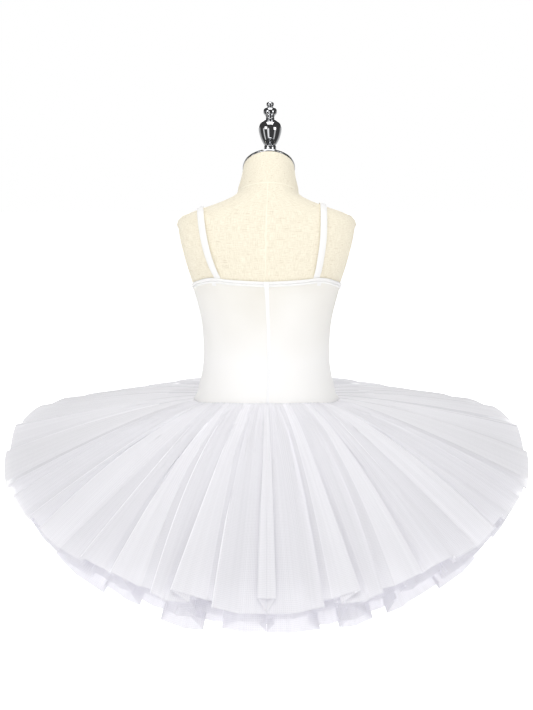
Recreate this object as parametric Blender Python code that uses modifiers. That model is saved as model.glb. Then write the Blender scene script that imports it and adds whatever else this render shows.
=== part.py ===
"""A child's ballet tutu on its dress form and stand.

Metres, +Z up. The wearer faces -Y and has the left hand at +X. The origin is the middle of the
stand's underside. A turn is an angle round the body in degrees, from the centre back (+Y) to the
wearer's left (+X) at 90 and on to the centre front at 180. Heights in the tables are over the hip
seam at the side of the body.
"""

import math
from collections import namedtuple

import bmesh
import bpy
from mathutils import Matrix, Vector
from mathutils.bvhtree import BVHTree

# Driving dimensions
HIP_SEAM_HEIGHT = 0.283
CLOTH_WALL = 0.001
BODY_CLEARANCE = 0.0008
STRAP_CLEARANCE = 0.0020
SEAM_GAP = 0.0003
BINDING_WIDTH = 0.007
STRAP_WIDTH = 0.0090
YOKE_DEPTH = 0.048
TULLE_LAYERS = 5
TULLE_ROW_STEP = 0.009
TULLE_TOP_DROP = 0.003
TULLE_SEAM_WAVE = 0.0014
NECK_CAP_THICKNESS = 0.0036
POLE_RADIUS = 0.0125
BASE_RADIUS = 0.130
BASE_THICKNESS = 0.009
COLLAR_RADIUS = 0.024
COLLAR_HEIGHT = 0.022

COLUMNS_ROUND_BODY = 40
ROWS_UP_BODICE = 9
ROWS_UP_STRAP = 28
STEPS_ROUND_TURNED = 24

BODICE_OUTSIDE = BODY_CLEARANCE + CLOTH_WALL

# The body's sections: tilt raises the back of a section, a squareness of 2 is an ellipse, and lean
# is how far its middle stands to the wearer's left.
Section = namedtuple("Section", "height half_width back front tilt squareness lean")
SECTIONS = (
    Section(-0.062, 0.0970, 0.0810, 0.0790, 0, 2.0, 0.0),
    Section(-0.052, 0.1040, 0.0880, 0.0860, 0, 2.0, 0.0),
    Section(-0.025, 0.1060, 0.0890, 0.0870, 0, 2.0, 0.0),
    Section(0.000, 0.1042, 0.0870, 0.0855, 0, 2.0, 0.0),
    Section(0.022, 0.0988, 0.0830, 0.0820, 0, 2.0, 0.0),
    Section(0.053, 0.0926, 0.0780, 0.0790, 0, 2.0, 0.0),
    Section(0.084, 0.0914, 0.0765, 0.0780, 0, 2.0, 0.0),
    Section(0.121, 0.0937, 0.0780, 0.0810, 0, 2.0, 0.0),
    Section(0.151, 0.0998, 0.0785, 0.0840, 0, 2.05, 0.0),
    Section(0.175, 0.1068, 0.0770, 0.0850, 1, 2.1, 0.0),
    Section(0.210, 0.1200, 0.0735, 0.0810, 3, 2.2, 0.0),
    Section(0.239, 0.1290, 0.0690, 0.0735, 6, 2.3, 0.0),
    Section(0.260, 0.1285, 0.0630, 0.0635, 10, 2.3, 0.0),
    Section(0.2675, 0.1252, 0.0602, 0.0595, 12, 2.25, -0.0002),
    Section(0.273, 0.1173, 0.0580, 0.0560, 13, 2.2, -0.0008),
    Section(0.282, 0.0872, 0.0540, 0.0510, 16, 2.1, -0.0006),
    Section(0.291, 0.0602, 0.0500, 0.0470, 19, 2.0, -0.0010),
    Section(0.299, 0.0455, 0.0468, 0.0452, 22, 2.0, -0.0018),
    Section(0.309, 0.0431, 0.0430, 0.0420, 26, 2.0, -0.0024),
    Section(0.323, 0.0389, 0.0393, 0.0384, 31, 2.0, -0.0028),
    Section(0.3375, 0.0363, 0.0368, 0.0363, 35, 2.0, -0.0034),
)
# The arms end in flat faces that lean out, from the underarm up to the shoulder.
UNDERARM_HEIGHT, UNDERARM_HALF_WIDTH = 0.165, 0.1068
SHOULDER_HEIGHT, SHOULDER_HALF_WIDTH = 0.258, 0.1268

# Where the bodice ends above and below.
Edge = namedtuple("Edge", "turn height")
NECKLINE = (
    Edge(0, 0.1870),
    Edge(25, 0.1890),
    Edge(42, 0.1905),
    Edge(65, 0.1830),
    Edge(90, 0.1755),
    Edge(115, 0.1830),
    Edge(149, 0.2035),
    Edge(166, 0.2005),
    Edge(180, 0.1965),
)
HIP_SEAM = (
    Edge(0, 0.0170),
    Edge(35, 0.0130),
    Edge(65, 0.0040),
    Edge(90, 0.0000),
    Edge(130, 0.0010),
    Edge(180, 0.0020),
)

# Each strap's distance from the middle, by the angle over the shoulder from its foot at the back.
StrapPlace = namedtuple("StrapPlace", "over left right")
STRAP_AXIS_HEIGHT = 0.1934
STRAPS = (
    StrapPlace(0, 0.0680, 0.0690),
    StrapPlace(20, 0.0770, 0.0733),
    StrapPlace(45, 0.0860, 0.0776),
    StrapPlace(68, 0.0912, 0.0782),
    StrapPlace(90, 0.0922, 0.0780),
    StrapPlace(135, 0.0790, 0.0730),
    StrapPlace(173, 0.0610, 0.0610),
)

# The hems of the top and the lowest tulle layer; those between are spaced evenly.
Hem = namedtuple("Hem", "turn top_radius top_height low_radius low_height")
HEMS = (
    Hem(0, 0.378, -0.124, 0.350, -0.180),
    Hem(20, 0.379, -0.119, 0.354, -0.177),
    Hem(40, 0.380, -0.104, 0.356, -0.151),
    Hem(58, 0.376, -0.092, 0.357, -0.128),
    Hem(76, 0.380, -0.084, 0.361, -0.115),
    Hem(90, 0.387, -0.072, 0.375, -0.112),
    Hem(103, 0.391, -0.046, 0.382, -0.098),
    Hem(118, 0.387, -0.052, 0.379, -0.098),
    Hem(140, 0.381, -0.062, 0.373, -0.106),
    Hem(180, 0.376, -0.058, 0.368, -0.102),
)
DROOP_CURVE = 1.35

# The tulle's folds on one half of the skirt, in every layer: where a fold's ridge and the valley
# in front of it reach the hem, how far the ridge rises there, and how much longer than the rest
# the top layer falls there, in the direction of HEM_DROOP.
HEM_DROOP = 34
Fold = namedtuple("Fold", "ridge valley rise longer")
FOLDS = (
    Fold(1.4, 4.5, 0.0035, 0.007),
    Fold(9.0, 11.2, 0.0035, 0.020),
    Fold(16.2, 17.8, 0.0050, 0.002),
    Fold(19.5, 22.0, 0.0030, 0.012),
    Fold(28.0, 30.0, 0.0052, 0.004),
    Fold(35.6, 40.0, 0.0022, 0.000),
    Fold(48.4, 51.0, 0.0065, 0.003),
    Fold(54.0, 58.0, 0.0035, -0.003),
    Fold(63.5, 66.0, 0.0045, 0.002),
    Fold(69.5, 76.0, 0.0040, 0.000),
    Fold(87.0, 91.5, 0.0060, 0.005),
    Fold(98.0, 103.5, 0.0055, 0.001),
    Fold(109.0, 113.5, 0.0025, 0.000),
    Fold(118.5, 123.0, 0.0030, 0.001),
    Fold(127.0, 131.5, 0.0025, 0.000),
    Fold(136.5, 141.0, 0.0032, 0.002),
    Fold(145.5, 150.0, 0.0025, 0.000),
    Fold(154.5, 159.0, 0.0035, 0.002),
    Fold(163.5, 168.0, 0.0028, 0.000),
    Fold(172.5, 177.0, 0.0035, 0.003),
)
LOWER_FOLD_SHARE = 0.8

# The finial's outline, from the top down, over the hip seam.
Turned = namedtuple("Turned", "radius height")
FINIAL_ASIDE = 0.0017
FINIAL = (
    Turned(0.0000, 0.4306),
    Turned(0.0032, 0.4302),
    Turned(0.0053, 0.4278),
    Turned(0.0048, 0.4246),
    Turned(0.0036, 0.4234),
    Turned(0.0072, 0.4222),
    Turned(0.0095, 0.4186),
    Turned(0.0092, 0.4146),
    Turned(0.0066, 0.4112),
    Turned(0.0060, 0.4078),
    Turned(0.0092, 0.4054),
    Turned(0.0136, 0.4016),
    Turned(0.0159, 0.3960),
    Turned(0.0158, 0.3900),
    Turned(0.0132, 0.3806),
    Turned(0.0096, 0.3734),
    Turned(0.0080, 0.3712),
    Turned(0.0086, 0.3690),
    Turned(0.0086, 0.3370),
    Turned(0.0000, 0.3370),
)


def row_at(table, key):
    """The table's row at this key, on a smooth curve through its rows."""
    last = len(table) - 1
    right = next((i for i in range(1, last) if table[i][0] >= key), last)
    before, start, end, after = (table[min(max(right + i, 0), last)] for i in (-2, -1, 0, 1))
    span = end[0] - start[0]
    part = min(max((key - start[0]) / span, 0.0), 1.0)
    row = [key]
    for column in range(1, len(start)):
        slope_in = (end[column] - before[column]) / (end[0] - before[0]) * span
        slope_out = (after[column] - start[column]) / (after[0] - start[0]) * span
        change = end[column] - start[column]
        bend = slope_in + slope_out - 2 * change
        ease = 3 * change - 2 * slope_in - slope_out
        row.append(start[column] + part * (slope_in + part * (ease + part * bend)))
    return type(start)(*row)


def half_turn(turn):
    """The same place on the wearer's left half, because both halves are alike."""
    turn = turn % 360
    return min(turn, 360 - turn)


def skin_point(turn, height):
    """A point on the dress form's skin, at this turn on the section of this height."""
    section = row_at(SECTIONS, height)
    angle = math.radians(turn)
    power = 2 / section.squareness
    side = math.copysign(abs(math.sin(angle)) ** power, math.sin(angle))
    depth = math.copysign(abs(math.cos(angle)) ** power, math.cos(angle))
    rise = (height - UNDERARM_HEIGHT) / (SHOULDER_HEIGHT - UNDERARM_HEIGHT)
    arm = UNDERARM_HALF_WIDTH + rise * (SHOULDER_HALF_WIDTH - UNDERARM_HALF_WIDTH)
    widest = arm if 0 < rise < 1 else section.half_width
    x = max(-widest, min(widest, section.half_width * side)) + section.lean
    y = depth * (section.back if depth > 0 else section.front)
    return Vector((x, y, HIP_SEAM_HEIGHT + height + y * math.tan(math.radians(section.tilt))))


def body_point(turn, height, out):
    """A point this far out from the dress form's skin, for the cloth on it."""
    around = skin_point(turn + 0.5, height) - skin_point(turn - 0.5, height)
    up = skin_point(turn, height + 0.0005) - skin_point(turn, height - 0.0005)
    return skin_point(turn, height) + out * up.cross(around).normalized()


def material(name, colour, roughness, metallic=0.0):
    made = bpy.data.materials.new(name)
    made.use_nodes = True
    shader = made.node_tree.nodes["Principled BSDF"]
    shader.inputs["Base Color"].default_value = (*colour, 1)
    shader.inputs["Roughness"].default_value = roughness
    shader.inputs["Metallic"].default_value = metallic
    made.diffuse_color = (*colour, 1)
    return made


def add_object(name, mesh, finish, collection):
    mesh.materials.append(finish)
    made = bpy.data.objects.new(name, mesh)
    collection.objects.link(made)
    return made


def mesh_from_grid(name, columns, rows, place, outward=True, closed=False):
    """A grid of this many columns and rows, each crossing moved to place(column, row)."""
    shape = bmesh.new()
    bmesh.ops.create_grid(shape, x_segments=columns, y_segments=rows, size=1)
    for vertex in shape.verts:
        column = round((vertex.co.x + 1) / 2 * columns)
        row = round((vertex.co.y + 1) / 2 * rows)
        vertex.co = place(column, row)
    bmesh.ops.remove_doubles(shape, verts=shape.verts, dist=0.00001)
    if not outward:
        bmesh.ops.reverse_faces(shape, faces=shape.faces)
    if closed:
        bmesh.ops.holes_fill(shape, edges=shape.edges)
    mesh = bpy.data.meshes.new(name)
    shape.to_mesh(mesh)
    shape.free()
    mesh.shade_smooth()
    mesh.set_sharp_from_angle(angle=math.radians(50))
    return mesh


def give_wall(cloth, offset):
    """Cloth thickness: offset 1 is all outside the surface, 0 is half on each side."""
    wall = cloth.modifiers.new("Cloth wall", "SOLIDIFY")
    wall.thickness = CLOTH_WALL
    wall.offset = offset
    wall.use_even_offset = True


def add_torso(collection, linen):
    """The dress form's body: a row of faces between sections, and two where the shoulders curve."""
    heights = []
    for section, following in zip(SECTIONS, SECTIONS[1:]):
        heights.append(section.height)
        if section.height > UNDERARM_HEIGHT:
            heights.append((section.height + following.height) / 2)
    heights.append(SECTIONS[-1].height)

    def place(column, row):
        return skin_point(360 * column / COLUMNS_ROUND_BODY, heights[row])

    rows = len(heights) - 1
    mesh = mesh_from_grid(
        "form_torso", COLUMNS_ROUND_BODY, rows, place, outward=False, closed=True
    )
    return add_object("form_torso", mesh, linen, collection)


def add_neck_cap(collection, chrome):
    """A disc on the slanted top of the neck, with its edge rounded."""
    neck = SECTIONS[-1]
    tilt = math.radians(neck.tilt)
    shape = bmesh.new()
    bmesh.ops.create_cone(
        shape,
        cap_ends=True,
        segments=COLUMNS_ROUND_BODY,
        radius1=neck.half_width + 0.0008,
        radius2=neck.half_width + 0.0008,
        depth=NECK_CAP_THICKNESS,
    )
    depth = (neck.back + neck.front) / 2 / math.cos(tilt) + 0.0008
    bmesh.ops.scale(shape, verts=shape.verts, vec=(1, depth / (neck.half_width + 0.0008), 1))
    mesh = bpy.data.meshes.new("form_neck_cap")
    shape.to_mesh(mesh)
    shape.free()
    cap = add_object("form_neck_cap", mesh, chrome, collection)
    up = Vector((0, -math.sin(tilt), math.cos(tilt)))
    foot = Vector((neck.lean, (neck.back - neck.front) / 2, HIP_SEAM_HEIGHT + neck.height))
    cap.location = foot + up * (SEAM_GAP + NECK_CAP_THICKNESS / 2)
    cap.rotation_euler.x = tilt
    edge = cap.modifiers.new("Rounded edge", "BEVEL")
    edge.width = 0.001
    edge.segments = 2
    return cap


def turned(name, profile, collection, finish):
    """A turned solid from its outline, top to bottom, as (radius, height) over the stand's foot."""
    mesh = bpy.data.meshes.new(name)
    points = [(radius, 0, height) for radius, height in profile]
    mesh.from_pydata(points, [(i, i + 1) for i in range(len(points) - 1)], [])
    made = add_object(name, mesh, finish, collection)
    screw = made.modifiers.new("Turned", "SCREW")
    screw.steps = screw.render_steps = STEPS_ROUND_TURNED
    screw.use_merge_vertices = True
    screw.merge_threshold = 0.0001
    screw.use_smooth_shade = True
    return made


def add_finial(collection, cutters, chrome, cap):
    """The turned knob, its foot cut on the slant of the neck cap."""
    outline = [(row.radius, HIP_SEAM_HEIGHT + row.height) for row in FINIAL]
    finial = turned("form_finial", outline, collection, chrome)
    finial.location.x = cap.location.x - FINIAL_ASIDE
    size = 0.1
    bpy.ops.mesh.primitive_cube_add(size=size, rotation=cap.rotation_euler)
    cutter = bpy.context.object
    cutter.name = "finial_foot_cutter"
    drop = size / 2 - NECK_CAP_THICKNESS / 2 - SEAM_GAP
    up = Vector((0, -math.sin(cap.rotation_euler.x), math.cos(cap.rotation_euler.x)))
    cutter.location = cap.location - up * drop
    cutter.hide_render = True
    cutter.display_type = "WIRE"
    for home in cutter.users_collection:
        home.objects.unlink(cutter)
    cutters.objects.link(cutter)
    cut = finial.modifiers.new("Slanted foot", "BOOLEAN")
    cut.operation = "DIFFERENCE"
    cut.object = cutter


def add_stand(collection, chrome):
    """A round weighted base, the collar on it, and the pole up to the dress form."""
    outline = (
        (0, BASE_THICKNESS),
        (BASE_RADIUS - 0.012, BASE_THICKNESS),
        (BASE_RADIUS - 0.002, BASE_THICKNESS - 0.002),
        (BASE_RADIUS, BASE_THICKNESS - 0.005),
        (BASE_RADIUS, 0.001),
        (BASE_RADIUS - 0.001, 0),
        (0, 0),
    )
    base = turned("stand_base", outline, collection, chrome)
    base.modifiers["Turned"].steps = base.modifiers["Turned"].render_steps = COLUMNS_ROUND_BODY
    foot = BASE_THICKNESS + SEAM_GAP
    head = foot + COLLAR_HEIGHT
    outline = (
        (0, head),
        (COLLAR_RADIUS - 0.004, head),
        (COLLAR_RADIUS, head - 0.004),
        (COLLAR_RADIUS, foot),
        (0, foot),
    )
    turned("stand_collar", outline, collection, chrome)
    foot = head + SEAM_GAP
    head = HIP_SEAM_HEIGHT + SECTIONS[0].height - SEAM_GAP
    outline = ((0, head), (POLE_RADIUS, head), (POLE_RADIUS, foot), (0, foot))
    turned("stand_pole", outline, collection, chrome)


def add_panel(name, start, end, columns, collection, knit):
    """A bodice panel between two turns, from the hip seam to the neckline."""
    trim = math.degrees(SEAM_GAP / 2 / SECTIONS[3].back)

    def place(column, row):
        turn = start + trim + (end - start - 2 * trim) * column / columns
        low = row_at(HIP_SEAM, half_turn(turn)).height
        high = row_at(NECKLINE, half_turn(turn)).height
        height = low + (high - low) * row / ROWS_UP_BODICE
        return body_point(turn, height, BODY_CLEARANCE)

    mesh = mesh_from_grid(name, columns, ROWS_UP_BODICE, place, outward=False)
    give_wall(add_object(name, mesh, knit, collection), offset=1)


def add_band(name, top, depth, rows, out, collection, finish):
    """A closed band round the body, below top(turn)."""

    def place(column, row):
        turn = 360 * column / COLUMNS_ROUND_BODY
        return body_point(turn, top(half_turn(turn)) - depth * (1 - row / rows), out)

    mesh = mesh_from_grid(name, COLUMNS_ROUND_BODY, rows, place, outward=False)
    give_wall(add_object(name, mesh, finish, collection), offset=1)


def add_strap(name, side, torso, collection, knit):
    """A strap over the shoulder, laid on the dress form's own surface."""
    graph = bpy.context.evaluated_depsgraph_get()
    surface = BVHTree.FromObject(torso, graph)
    axis_height = HIP_SEAM_HEIGHT + STRAP_AXIS_HEIGHT
    last = STRAPS[-1].over

    def place(column, row):
        over = last * row / ROWS_UP_STRAP
        middle = row_at(STRAPS, over).left if side > 0 else row_at(STRAPS, over).right
        x = side * (middle + STRAP_WIDTH * (1 - column) / 2)
        angle = math.radians(over)
        way = Vector((0, math.cos(angle), math.sin(angle)))
        axis = Vector((x, 0, axis_height))
        point, normal, _, _ = surface.ray_cast(axis + way * 0.3, -way)
        return point + normal * STRAP_CLEARANCE

    mesh = mesh_from_grid(name, 2, ROWS_UP_STRAP, place, outward=side > 0)
    give_wall(add_object(name, mesh, knit, collection), offset=1)


Column = namedtuple("Column", "turn wave rise longer")


def fold_columns(with_flanks):
    """Round the skirt from the centre back: each column's place at the hem and its wave, -1 to 1."""
    half = [Column(0.0, 0.5, FOLDS[0].rise, FOLDS[0].longer)]
    for fold, following in zip(FOLDS, (*FOLDS[1:], FOLDS[-1])):
        half.append(Column(fold.ridge, 1.0, fold.rise, fold.longer))
        if with_flanks:
            flank = fold.ridge + 0.4 * (fold.valley - fold.ridge)
            half.append(Column(flank, 0.1, fold.rise, following.longer))
        half.append(Column(fold.valley, -1.0, fold.rise, following.longer))
        if with_flanks and following is not fold:
            flank = fold.valley + 0.6 * (following.ridge - fold.valley)
            half.append(Column(flank, 0.0, fold.rise, following.longer))
    other = [column._replace(turn=360 - column.turn) for column in reversed(half[1:])]
    return half + other + [half[0]._replace(turn=360.0)]


def add_tulle(layer, collection, tulle):
    """One pleated ring of tulle, from its row of stitches on the body to its hem."""
    is_top = layer == 1
    columns = fold_columns(with_flanks=is_top)
    reaches = (0, 0.1, 0.32, 0.64, 1) if is_top else (0, 0.14, 0.5, 1)
    share = (layer - 1) / (TULLE_LAYERS - 1)
    drop = TULLE_TOP_DROP + TULLE_ROW_STEP * (layer - 1)
    last = len(columns) - 1

    def place(column, row):
        hem_turn, wave, rise, longer = columns[column]
        seam_turn = 360 * column / last
        reach = reaches[row]
        seam_height = row_at(HIP_SEAM, half_turn(seam_turn)).height - drop
        seam = body_point(seam_turn, seam_height, BODICE_OUTSIDE + SEAM_GAP + 0.0001)
        hem = row_at(HEMS, half_turn(hem_turn))
        radius = hem.top_radius + share * (hem.low_radius - hem.top_radius)
        height = hem.top_height + share * (hem.low_height - hem.top_height)
        if is_top:
            radius += longer * math.cos(math.radians(HEM_DROOP))
            height -= longer * math.sin(math.radians(HEM_DROOP))
        angle = math.radians(hem_turn)
        end = Vector((radius * math.sin(angle), radius * math.cos(angle), HIP_SEAM_HEIGHT + height))
        point = seam.lerp(end, reach)
        point.z = seam.z + (end.z - seam.z) * reach**DROOP_CURVE
        height_of_wave = rise * (1 - share * (1 - LOWER_FOLD_SHARE))
        point.z += wave * (TULLE_SEAM_WAVE * (1 - reach) + height_of_wave * reach)
        return point

    name = f"tulle_layer_{layer}"
    mesh = mesh_from_grid(name, last, len(reaches) - 1, place)
    give_wall(add_object(name, mesh, tulle, collection), offset=0)


def new_collection(name, hidden=False):
    made = bpy.data.collections.new(name)
    made.hide_render = hidden
    bpy.context.scene.collection.children.link(made)
    return made


for old in list(bpy.data.objects):
    bpy.data.objects.remove(old)

whole = new_collection("ballet_tutu")
helpers = new_collection("cutters", hidden=True)
linen = material("linen", (0.90, 0.86, 0.77), 0.85)
chrome = material("chrome", (0.80, 0.80, 0.82), 0.12, metallic=1.0)
knit = material("stretch knit", (0.95, 0.94, 0.90), 0.6)
tulle = material("tulle", (0.82, 0.82, 0.87), 0.7)

torso = add_torso(whole, linen)
neck_cap = add_neck_cap(whole, chrome)
add_finial(whole, helpers, chrome, neck_cap)
add_stand(whole, chrome)

add_panel("bodice_back_left", 0, 90, COLUMNS_ROUND_BODY // 4, whole, knit)
add_panel("bodice_front", 90, 270, COLUMNS_ROUND_BODY // 2, whole, knit)
add_panel("bodice_back_right", 270, 360, COLUMNS_ROUND_BODY // 4, whole, knit)
add_band(
    "neckline_binding",
    lambda turn: row_at(NECKLINE, turn).height,
    BINDING_WIDTH,
    1,
    BODICE_OUTSIDE + SEAM_GAP,
    whole,
    knit,
)
add_strap("strap_left", 1, torso, whole, knit)
add_strap("strap_right", -1, torso, whole, knit)
add_band(
    "hip_yoke",
    lambda turn: row_at(HIP_SEAM, turn).height - SEAM_GAP,
    YOKE_DEPTH,
    3,
    BODY_CLEARANCE,
    whole,
    knit,
)
for layer in range(1, TULLE_LAYERS + 1):
    add_tulle(layer, whole, tulle)
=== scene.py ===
"""A child's ballet tutu on its dress form and stand.

Metres, +Z up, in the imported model's frame. The wearer faces -Y and has the left hand at +X. A turn
is an angle round the body in degrees, from the centre back (+Y) to the wearer's left at 90.
"""

import math
import random
from collections import namedtuple

import bmesh
import bpy
from mathutils import Matrix, Vector
from mathutils.bvhtree import BVHTree


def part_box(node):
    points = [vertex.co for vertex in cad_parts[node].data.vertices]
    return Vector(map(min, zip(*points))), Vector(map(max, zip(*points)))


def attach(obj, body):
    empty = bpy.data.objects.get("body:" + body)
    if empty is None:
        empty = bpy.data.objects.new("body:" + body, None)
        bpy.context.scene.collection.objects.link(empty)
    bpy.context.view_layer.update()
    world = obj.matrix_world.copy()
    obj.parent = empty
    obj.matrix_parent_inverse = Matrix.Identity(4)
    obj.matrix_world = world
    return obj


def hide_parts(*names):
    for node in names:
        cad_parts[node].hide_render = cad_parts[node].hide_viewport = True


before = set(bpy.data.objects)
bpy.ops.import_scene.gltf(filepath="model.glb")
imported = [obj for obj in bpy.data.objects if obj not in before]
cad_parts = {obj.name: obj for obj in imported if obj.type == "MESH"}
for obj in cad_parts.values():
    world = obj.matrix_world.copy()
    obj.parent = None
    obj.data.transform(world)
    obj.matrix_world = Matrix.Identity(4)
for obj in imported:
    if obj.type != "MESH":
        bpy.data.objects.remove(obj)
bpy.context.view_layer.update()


# ---- The torso -----------------------------------------------------------------------------------
# A padded child's torso without limbs, covered in cream slub linen. The cover is cut in panels,
# so a seam runs down the centre back and another rings the foot of the neck.

TORSO_BELOW_HIP_SEAM = 0.062
HIP_SEAM_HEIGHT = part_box("form_torso")[0][2] + TORSO_BELOW_HIP_SEAM
TORSO_COLUMNS = 120
TORSO_ROWS = 72
COVER_CUT = (0.62, 0.40)
COVER_SEAM_COLUMNS = 6
COVER_SEAM_WIDTH = 0.0014
COVER_SEAM_RISE = 0.0006
COVER_SEAM_SUNK = 0.2
COVER_SEAM_LENGTH = 0.2
NECK_SEAM_HEIGHT = 0.302
NECK_SEAM_STEPS = 120
BACK_COVER_SEAM_STEPS = 60
NEARBY_TURN = 0.5
NEARBY_HEIGHT = 0.0005
MERGE_WITHIN = 0.000005

# Heights are over the hip seam. Tilt raises the back of a section, a squareness of 2 is an ellipse,
# and lean is how far its middle stands to the wearer's left.
Section = namedtuple("Section", "height half_width back front tilt squareness lean")
SECTIONS = (
    Section(-0.062, 0.0970, 0.0810, 0.0790, 0, 2.0, 0.0),
    Section(-0.052, 0.1040, 0.0880, 0.0860, 0, 2.0, 0.0),
    Section(-0.025, 0.1060, 0.0890, 0.0870, 0, 2.0, 0.0),
    Section(0.000, 0.1042, 0.0870, 0.0855, 0, 2.0, 0.0),
    Section(0.022, 0.0988, 0.0830, 0.0820, 0, 2.0, 0.0),
    Section(0.053, 0.0926, 0.0780, 0.0790, 0, 2.0, 0.0),
    Section(0.084, 0.0914, 0.0765, 0.0780, 0, 2.0, 0.0),
    Section(0.121, 0.0937, 0.0780, 0.0810, 0, 2.0, 0.0),
    Section(0.151, 0.0998, 0.0785, 0.0840, 0, 2.05, 0.0),
    Section(0.175, 0.1068, 0.0770, 0.0850, 1, 2.1, 0.0),
    Section(0.210, 0.1200, 0.0735, 0.0810, 3, 2.2, 0.0),
    Section(0.239, 0.1290, 0.0690, 0.0735, 6, 2.3, 0.0),
    Section(0.260, 0.1285, 0.0630, 0.0635, 10, 2.3, 0.0),
    Section(0.2675, 0.1252, 0.0602, 0.0595, 12, 2.25, -0.0002),
    Section(0.273, 0.1173, 0.0580, 0.0560, 13, 2.2, -0.0008),
    Section(0.282, 0.0872, 0.0540, 0.0510, 16, 2.1, -0.0006),
    Section(0.291, 0.0602, 0.0500, 0.0470, 19, 2.0, -0.0010),
    Section(0.299, 0.0455, 0.0468, 0.0452, 22, 2.0, -0.0018),
    Section(0.309, 0.0431, 0.0430, 0.0420, 26, 2.0, -0.0024),
    Section(0.323, 0.0389, 0.0393, 0.0384, 31, 2.0, -0.0028),
    Section(0.3375, 0.0363, 0.0368, 0.0363, 35, 2.0, -0.0034),
)
UNDERARM_HEIGHT, UNDERARM_HALF_WIDTH = 0.165, 0.1068
SHOULDER_HEIGHT, SHOULDER_HALF_WIDTH = 0.258, 0.1268
ARM_EDGE_ROUNDING = 0.0020

# Across is how far a line stands to the wearer's left of the centre.
SeamRun = namedtuple("SeamRun", "height across")
COVER_SEAM = (
    SeamRun(0.183, 0.0016),
    SeamRun(0.220, 0.0007),
    SeamRun(0.260, 0.0002),
    SeamRun(0.302, -0.0018),
)


def row_at(table, key):
    """The table's row at this key, on a smooth curve through its rows."""
    last = len(table) - 1
    right = next((i for i in range(1, last) if table[i][0] >= key), last)
    before, start, end, after = (table[min(max(right + i, 0), last)] for i in (-2, -1, 0, 1))
    span = end[0] - start[0]
    part = min(max((key - start[0]) / span, 0.0), 1.0)
    row = [key]
    for column in range(1, len(start)):
        slope_in = (end[column] - before[column]) / (end[0] - before[0]) * span
        slope_out = (after[column] - start[column]) / (after[0] - start[0]) * span
        change = end[column] - start[column]
        bend = slope_in + slope_out - 2 * change
        ease = 3 * change - 2 * slope_in - slope_out
        row.append(start[column] + part * (slope_in + part * (ease + part * bend)))
    return type(start)(*row)


def half_turn(turn):
    """The same place on the wearer's left half, because both halves are alike."""
    turn = turn % 360
    return min(turn, 360 - turn)


def skin_point(turn, height):
    """A point on the torso's cover, at this turn on the section of this height."""
    section = row_at(SECTIONS, height)
    angle = math.radians(turn)
    power = 2 / section.squareness
    side = math.copysign(abs(math.sin(angle)) ** power, math.sin(angle))
    depth = math.copysign(abs(math.cos(angle)) ** power, math.cos(angle))
    x = section.half_width * abs(side)
    rise = (height - UNDERARM_HEIGHT) / (SHOULDER_HEIGHT - UNDERARM_HEIGHT)
    if 0 < rise < 1:
        # The arm is cut off flat, and the logarithm rounds the edge of the cut.
        arm = UNDERARM_HALF_WIDTH + rise * (SHOULDER_HALF_WIDTH - UNDERARM_HALF_WIDTH)
        over = (x - arm) / ARM_EDGE_ROUNDING
        x -= ARM_EDGE_ROUNDING * math.log1p(math.exp(over))
    y = depth * (section.back if depth > 0 else section.front)
    z = HIP_SEAM_HEIGHT + height + y * math.tan(math.radians(section.tilt))
    return Vector((math.copysign(x, side) + section.lean, y, z))


def body_point(turn, height, out=0.0):
    """A point this far out from the torso's cover, square to it."""
    around = skin_point(turn + NEARBY_TURN, height) - skin_point(turn - NEARBY_TURN, height)
    up = skin_point(turn, height + NEARBY_HEIGHT) - skin_point(turn, height - NEARBY_HEIGHT)
    return skin_point(turn, height) + out * up.cross(around).normalized()


def lay_cloth(name, columns, rows, place, size, finish, turned_over=True, closed=False):
    """A grid of cloth with each crossing moved to place(column, row).

    Its UV map is in metres, over a piece cut to this size.
    """
    shape = bmesh.new()
    bmesh.ops.create_grid(shape, x_segments=columns, y_segments=rows, size=1, calc_uvs=True)
    layer = shape.loops.layers.uv.verify()
    for face in shape.faces:
        for loop in face.loops:
            across, along = (loop.vert.co.x + 1) / 2, (loop.vert.co.y + 1) / 2
            loop[layer].uv = (across * size[0], along * size[1])
    for vertex in shape.verts:
        column = round((vertex.co.x + 1) / 2 * columns)
        row = round((vertex.co.y + 1) / 2 * rows)
        vertex.co = place(column, row)
    bmesh.ops.remove_doubles(shape, verts=shape.verts, dist=MERGE_WITHIN)
    if turned_over:
        bmesh.ops.reverse_faces(shape, faces=shape.faces)
    if closed:
        bmesh.ops.holes_fill(shape, edges=shape.edges)
    return finish_piece(name, shape, finish)


def finish_piece(name, shape, finish, sharp=60):
    """The bmesh as an object of the one body, shaded smooth but for edges over so many degrees."""
    mesh = bpy.data.meshes.new(name)
    shape.to_mesh(mesh)
    shape.free()
    mesh.shade_smooth()
    mesh.set_sharp_from_angle(angle=math.radians(sharp))
    mesh.materials.append(finish)
    piece = bpy.data.objects.new(name, mesh)
    bpy.context.scene.collection.objects.link(piece)
    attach(piece, "root")
    return piece


def node_tools(tree):
    """add(kind, inputs and settings by name) for this node tree, and link(output, input)."""

    def add(kind, **values):
        node = tree.nodes.new("ShaderNode" + kind)
        for key, value in values.items():
            if key in node.inputs:
                node.inputs[key].default_value = value
            else:
                setattr(node, key, value)
        return node

    return add, tree.links.new


def new_material(name, colour, roughness):
    """A material, its shader, and its tree's add and link."""
    made = bpy.data.materials.new(name)
    made.use_nodes = True
    shader = made.node_tree.nodes["Principled BSDF"]
    shader.inputs["Base Color"].default_value = (*colour, 1)
    shader.inputs["Roughness"].default_value = roughness
    return made, shader, *node_tools(made.node_tree)


def math_node(add, link, operation, *values):
    """What this operation makes of the values, each of them an output or a number."""
    node = add("Math", operation=operation)
    for socket, value in zip(node.inputs, values):
        if isinstance(value, float):
            socket.default_value = value
        else:
            link(value, socket)
    return node.outputs[0]


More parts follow.
